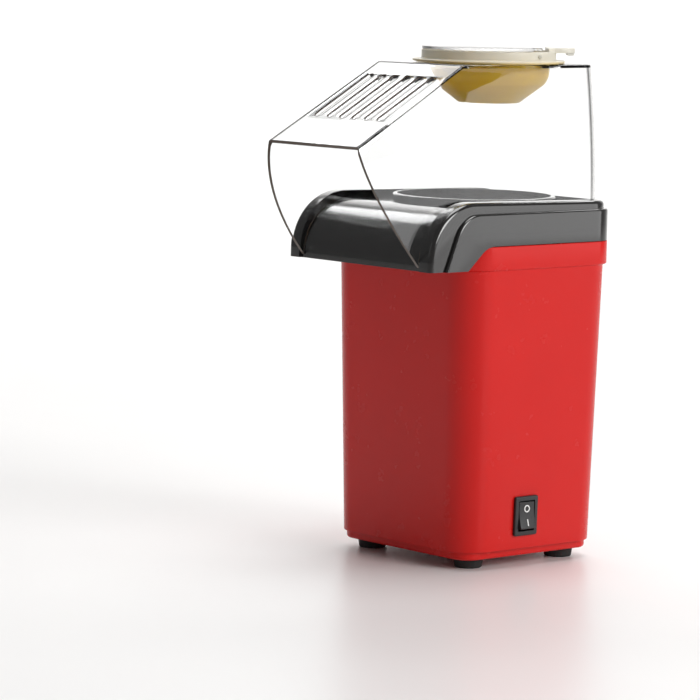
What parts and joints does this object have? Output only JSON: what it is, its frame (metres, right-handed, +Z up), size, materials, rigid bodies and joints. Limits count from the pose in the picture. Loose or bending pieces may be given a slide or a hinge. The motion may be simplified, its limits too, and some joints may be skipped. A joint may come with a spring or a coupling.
{
  "type": "popcorn maker",
  "caption": "Tabletop hot-air popcorn maker: tapered housing with a chute deck, clear slotted hood, lidded butter cup, rocker switch, and the fan and heater inside.",
  "frame": {"origin": "centre of the bounding box on the surface the feet stand on", "axes": "+X towards the side with the rocker switch, -Y towards the mouth of the hood, +Z up"},
  "size_m": [0.118, 0.166, 0.2717],
  "materials": {
    "red_plastic": "moulded, semi-gloss",
    "black_gloss": "moulded, gloss",
    "black_satin": "satin",
    "clear_plastic": "clear, polished",
    "amber_plastic": "translucent amber",
    "aluminium": "spun",
    "steel": "plated",
    "rubber": "matte",
    "mica": "layered mica board",
    "nichrome": "oxidised resistance wire",
    "bronze": "sintered bronze",
    "grey_plastic": "moulded",
    "ferrite": "sintered",
    "board": "printed circuit board",
    "silicone": "matte"
  },
  "bodies": {
    "base": {"base_plate": "red_plastic", "base_screw_front_left": "steel", "base_screw_front_right": "steel", "base_screw_rear_left": "steel", "base_screw_rear_right": "steel", "chamber_gasket": "silicone", "cord_gland": "black_satin", "duct_screw_1": "steel", "duct_screw_2": "steel", "duct_screw_3": "steel", "duct_screw_4": "steel", "foot_front_left": "rubber", "foot_front_right": "rubber", "foot_rear_left": "rubber", "foot_rear_right": "rubber", "gland_nut": "black_satin", "heater_coil": "nichrome", "heater_duct": "steel", "heater_frame": "mica", "housing_shell": "red_plastic", "lower_bearing": "bronze", "motor_can": "steel", "motor_dropper_coil": "nichrome", "motor_end_cap": "grey_plastic", "motor_magnet_left": "ferrite", "motor_magnet_right": "ferrite", "motor_screw_1": "steel", "motor_screw_2": "steel", "motor_spider": "grey_plastic", "popping_chamber": "aluminium", "rectifier_board": "board", "switch_frame": "black_satin", "thermal_fuse": "aluminium", "thermostat": "steel", "top_deck": "black_gloss", "upper_bearing": "bronze"},
    "rotor": {"motor_shaft": "steel", "motor_rotor": "steel", "fan_impeller": "grey_plastic", "fan_clip": "steel"},
    "hood": {"hood": "clear_plastic"},
    "cup": {"butter_cup": "amber_plastic", "lid_pin": "amber_plastic"},
    "lid": {"cup_lid": "clear_plastic"},
    "rocker": {"switch_rocker": "black_satin"}
  },
  "joints": [
    {"name": "fan_spin", "type": "hinge", "parent": "base", "child": "rotor", "pos_m": [0, 0.02895, 0.0606], "axis": [0, 0, 1], "continuous": true},
    {"name": "rocker_press", "type": "hinge", "parent": "base", "child": "rocker", "pos_m": [0.05442, 0.02135, 0.0273], "axis": [0, 1, 0], "range_deg": [0, 18]},
    {"name": "hood_lift", "type": "slide", "parent": "base", "child": "hood", "axis": [0, 0, 1], "range_m": [0, 0.12]},
    {"name": "cup_lift", "type": "slide", "parent": "hood", "child": "cup", "axis": [0, 0, 1], "range_m": [0, 0.05]},
    {"name": "lid_hinge", "type": "hinge", "parent": "cup", "child": "lid", "pos_m": [0.01671, 0.05787, 0.2673], "axis": [-0.766, 0.6428, 0], "range_deg": [0, 93]}
  ]
}
